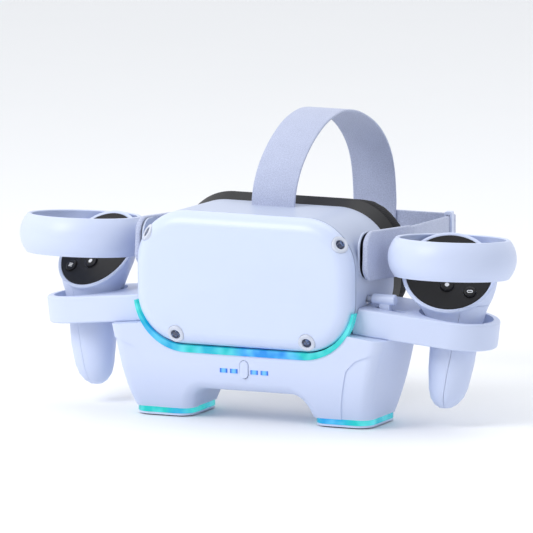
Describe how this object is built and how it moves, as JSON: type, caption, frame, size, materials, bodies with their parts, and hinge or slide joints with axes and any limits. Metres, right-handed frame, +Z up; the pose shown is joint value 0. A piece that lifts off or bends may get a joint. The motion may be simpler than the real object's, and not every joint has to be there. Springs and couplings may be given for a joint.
{
  "type": "vr headset with charging dock",
  "caption": "Visor with soft straps resting in a two-legged lit charging dock whose side arms hold ringed hand controllers.",
  "frame": {"origin": "centre of the set's footprint on the table under it", "axes": "+X to the right seen from the front, -Y towards the visor's front, +Z up"},
  "size_m": [0.3922, 0.2584, 0.2161],
  "materials": {
    "white_plastic": "satin moulded",
    "housing_plastic": "satin moulded",
    "camera_bezel": "smooth",
    "camera_glass": "coated glass",
    "eye_glass": "moulded lens",
    "black_plastic": "satin moulded",
    "black_gloss": "gloss",
    "display": "gloss",
    "circuit_board": "solder mask",
    "cell_wrap": "shrink wrap",
    "foam": "covered foam",
    "strap_web": "woven elastic",
    "light_guide": "lit diffuser",
    "indicator": "lit diffuser",
    "rubber_pad": "matt",
    "screw_steel": "plated",
    "gold_contact": "plated",
    "bright_metal": "polished"
  },
  "bodies": {
    "dock": {"dock_front_shell": "white_plastic", "dock_main_shell": "white_plastic", "saddle_light_guide": "light_guide", "foot_lights": "light_guide", "foot_plates": "white_plastic", "rubber_feet": "rubber_pad", "dock_screws": "screw_steel", "left_arm": "white_plastic", "right_arm": "white_plastic", "indicator_lights": "indicator", "dock_circuit_board": "circuit_board", "power_socket": "bright_metal", "controller_contacts": "gold_contact"},
    "dock_key": {"dock_power_button": "white_plastic"},
    "plug": {"connector_slider": "white_plastic", "connector_tip": "bright_metal"},
    "headset": {"visor_front_cover": "white_plastic", "visor_housing": "housing_plastic", "camera_bezels": "camera_bezel", "camera_lenses": "camera_glass", "display_panel": "display", "headset_main_board": "circuit_board", "headset_battery": "cell_wrap", "face_frame": "black_plastic", "face_cushion": "foam", "magnetic_puck": "bright_metal", "top_strap": "strap_web"},
    "headband": {"left_strap_arm": "strap_web", "right_strap_arm": "strap_web", "rear_strap": "strap_web", "strap_sliders": "white_plastic"},
    "left_optics": {"left_lens_barrel": "black_plastic", "left_lens": "eye_glass"},
    "right_optics": {"right_lens_barrel": "black_plastic", "right_lens": "eye_glass"},
    "headset_key": {"headset_power_button": "housing_plastic"},
    "left_controller": {"left_handle_shell": "white_plastic", "left_tracking_ring": "white_plastic", "left_face_plate": "black_gloss", "left_battery": "cell_wrap"},
    "left_battery_cover_body": {"left_battery_cover": "white_plastic"},
    "left_stick_gimbal_body": {"left_stick_gimbal": "black_plastic"},
    "left_thumbstick_body": {"left_thumbstick": "black_plastic"},
    "left_upper_button_body": {"left_upper_button": "black_gloss"},
    "left_lower_button_body": {"left_lower_button": "black_gloss"},
    "left_menu_button_body": {"left_menu_button": "black_gloss"},
    "left_trigger_body": {"left_trigger": "white_plastic"},
    "left_grip_button_body": {"left_grip_button": "white_plastic"},
    "right_controller": {"right_handle_shell": "white_plastic", "right_tracking_ring": "white_plastic", "right_face_plate": "black_gloss", "right_battery": "cell_wrap"},
    "right_battery_cover_body": {"right_battery_cover": "white_plastic"},
    "right_stick_gimbal_body": {"right_stick_gimbal": "black_plastic"},
    "right_thumbstick_body": {"right_thumbstick": "black_plastic"},
    "right_upper_button_body": {"right_upper_button": "black_gloss"},
    "right_lower_button_body": {"right_lower_button": "black_gloss"},
    "right_menu_button_body": {"right_menu_button": "black_gloss"},
    "right_trigger_body": {"right_trigger": "white_plastic"},
    "right_grip_button_body": {"right_grip_button": "white_plastic"}
  },
  "joints": [
    {"name": "dock_power_press", "type": "slide", "parent": "dock", "child": "dock_key", "axis": [0, 1, 0], "range_m": [0, 0.001], "stiffness_N_per_m": 400, "springref_m": -0.0008},
    {"name": "plug_slide", "type": "slide", "parent": "dock", "child": "plug", "axis": [1, 0, 0], "range_m": [0, 0.008]},
    {"name": "headset_lift", "type": "slide", "parent": "dock", "child": "headset", "axis": [0, 0, 1], "range_m": [0, 0.12]},
    {"name": "headband_tilt", "type": "hinge", "parent": "headset", "child": "headband", "pos_m": [0, -0.07865, 0.127], "axis": [1, 0, 0], "range_deg": [-7, 15], "deforming": ["top_strap"]},
    {"name": "right_lens_shift", "type": "slide", "parent": "headset", "child": "right_optics", "axis": [1, 0, 0], "range_m": [-0.0025, 0.0025]},
    {"name": "left_lens_shift", "type": "slide", "parent": "headset", "child": "left_optics", "axis": [1, 0, 0], "range_m": [-0.0025, 0.0025]},
    {"name": "headset_power_press", "type": "slide", "parent": "headset", "child": "headset_key", "axis": [1, 0, 0], "range_m": [0, 0.0007], "stiffness_N_per_m": 400, "springref_m": -0.0008},
    {"name": "left_controller_lift", "type": "slide", "parent": "dock", "child": "left_controller", "axis": [0, 0, 1], "range_m": [0, 0.12]},
    {"name": "left_battery_cover_slide", "type": "slide", "parent": "left_controller", "child": "left_battery_cover_body", "axis": [0.1873, 0, -0.9823], "range_m": [0, 0.01]},
    {"name": "left_stick_tip", "type": "hinge", "parent": "left_controller", "child": "left_stick_gimbal_body", "pos_m": [-0.12612, -0.06042, 0.12009], "axis": [-0.9336, 0.3584, 0], "range_deg": [-14, 14], "stiffness_Nm_per_rad": 0.02},
    {"name": "left_stick_swing", "type": "hinge", "parent": "left_stick_gimbal_body", "child": "left_thumbstick_body", "pos_m": [-0.12612, -0.06042, 0.12009], "axis": [0.2351, 0.6125, 0.7547], "range_deg": [-14, 14], "stiffness_Nm_per_rad": 0.02},
    {"name": "left_upper_press", "type": "slide", "parent": "left_controller", "child": "left_upper_button_body", "axis": [0.2705, 0.7046, -0.6561], "range_m": [0, 0.001], "stiffness_N_per_m": 300, "springref_m": -0.0008},
    {"name": "left_lower_press", "type": "slide", "parent": "left_controller", "child": "left_lower_button_body", "axis": [0.2705, 0.7046, -0.6561], "range_m": [0, 0.001], "stiffness_N_per_m": 300, "springref_m": -0.0008},
    {"name": "left_menu_press", "type": "slide", "parent": "left_controller", "child": "left_menu_button_body", "axis": [0.2705, 0.7046, -0.6561], "range_m": [0, 0.001], "stiffness_N_per_m": 300, "springref_m": -0.0008},
    {"name": "left_trigger_pull", "type": "hinge", "parent": "left_controller", "child": "left_trigger_body", "pos_m": [-0.1462, -0.04365, 0.105], "axis": [-1, 0, 0], "range_deg": [0, 12], "stiffness_Nm_per_rad": 0.03, "springref_deg": -17.19},
    {"name": "left_grip_press", "type": "slide", "parent": "left_controller", "child": "left_grip_button_body", "axis": [-1, 0, 0], "range_m": [0, 0.002], "stiffness_N_per_m": 300, "springref_m": -0.001},
    {"name": "right_controller_lift", "type": "slide", "parent": "dock", "child": "right_controller", "axis": [0, 0, 1], "range_m": [0, 0.12]},
    {"name": "right_battery_cover_slide", "type": "slide", "parent": "right_controller", "child": "right_battery_cover_body", "axis": [-0.1873, 0, -0.9823], "range_m": [0, 0.01]},
    {"name": "right_stick_tip", "type": "hinge", "parent": "right_controller", "child": "right_stick_gimbal_body", "pos_m": [0.12612, -0.06042, 0.12009], "axis": [0.9336, 0.3584, 0], "range_deg": [-14, 14], "stiffness_Nm_per_rad": 0.02},
    {"name": "right_stick_swing", "type": "hinge", "parent": "right_stick_gimbal_body", "child": "right_thumbstick_body", "pos_m": [0.12612, -0.06042, 0.12009], "axis": [-0.2351, 0.6125, 0.7547], "range_deg": [-14, 14], "stiffness_Nm_per_rad": 0.02},
    {"name": "right_upper_press", "type": "slide", "parent": "right_controller", "child": "right_upper_button_body", "axis": [-0.2705, 0.7046, -0.6561], "range_m": [0, 0.001], "stiffness_N_per_m": 300, "springref_m": -0.0008},
    {"name": "right_lower_press", "type": "slide", "parent": "right_controller", "child": "right_lower_button_body", "axis": [-0.2705, 0.7046, -0.6561], "range_m": [0, 0.001], "stiffness_N_per_m": 300, "springref_m": -0.0008},
    {"name": "right_menu_press", "type": "slide", "parent": "right_controller", "child": "right_menu_button_body", "axis": [-0.2705, 0.7046, -0.6561], "range_m": [0, 0.001], "stiffness_N_per_m": 300, "springref_m": -0.0008},
    {"name": "right_trigger_pull", "type": "hinge", "parent": "right_controller", "child": "right_trigger_body", "pos_m": [0.1462, -0.04365, 0.105], "axis": [-1, 0, 0], "range_deg": [0, 12], "stiffness_Nm_per_rad": 0.03, "springref_deg": -17.19},
    {"name": "right_grip_press", "type": "slide", "parent": "right_controller", "child": "right_grip_button_body", "axis": [1, 0, 0], "range_m": [0, 0.002], "stiffness_N_per_m": 300, "springref_m": -0.001}
  ],
  "couplings": [
    {"joint": "left_lens_shift", "follows": "right_lens_shift", "ratio": -1}
  ]
}
